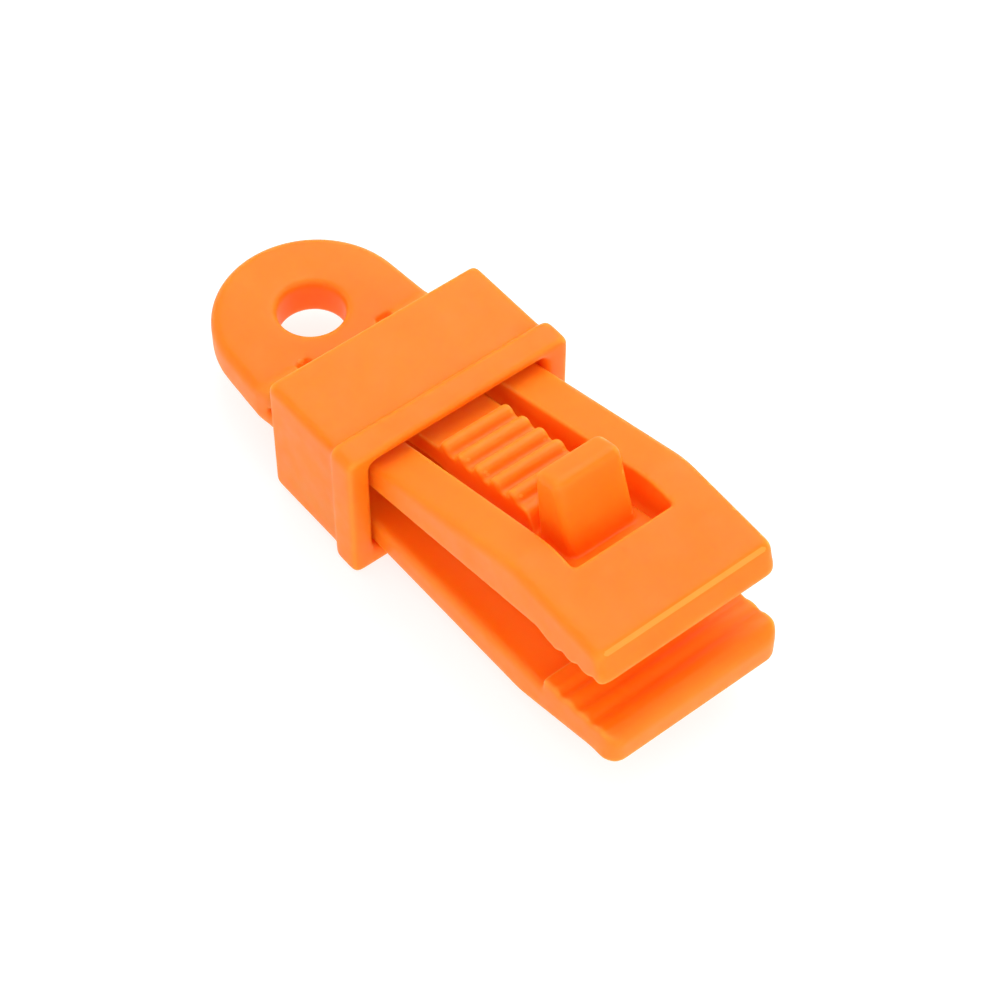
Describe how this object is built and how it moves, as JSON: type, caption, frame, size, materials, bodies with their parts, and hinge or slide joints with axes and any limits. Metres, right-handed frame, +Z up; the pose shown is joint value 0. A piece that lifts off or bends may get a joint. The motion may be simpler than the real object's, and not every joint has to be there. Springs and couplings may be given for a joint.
{
  "type": "tarpaulin clip",
  "caption": "Sheet clip with an eyelet tail and toothed jaws that a sliding sleeve squeezes shut; a ribbed tongue locks the sleeve and a thumb tab frees it.",
  "frame": {"origin": "centre of the eyelet's hole, halfway through its plate", "axes": "+X from the eyelet towards the jaw tips; +Z up through the hole, towards the thumb tab's side; the clip is symmetric about the XZ plane"},
  "size_m": [0.0698, 0.0266, 0.0245],
  "materials": {
    "body_plastic": "satin moulded nylon",
    "sleeve_plastic": "satin moulded nylon"
  },
  "bodies": {
    "main_body": {"eyelet": "body_plastic", "lower_jaw": "body_plastic", "hinge_web_left": "body_plastic", "hinge_web_right": "body_plastic", "tongue_web": "body_plastic"},
    "upper_jaw": {"upper_jaw": "body_plastic"},
    "release_tongue": {"release_tongue": "body_plastic"},
    "locking_sleeve": {"locking_sleeve": "sleeve_plastic"}
  },
  "joints": [
    {"name": "sleeve_slide", "type": "slide", "parent": "main_body", "child": "locking_sleeve", "axis": [1, 0, 0], "range_m": [0, 0.0145]},
    {"name": "jaw_close", "type": "hinge", "parent": "main_body", "child": "upper_jaw", "pos_m": [0.0072, 0, 0.002], "axis": [0, 1, 0], "range_deg": [0, 7.2]},
    {"name": "tongue_release", "type": "hinge", "parent": "upper_jaw", "child": "release_tongue", "pos_m": [0.0072, 0, 0.0013], "axis": [0, 1, 0], "range_deg": [0, 5], "stiffness_Nm_per_rad": 0.3}
  ],
  "couplings": [
    {"joint": "jaw_close", "follows": "sleeve_slide", "rad_per_m": 8.55}
  ]
}
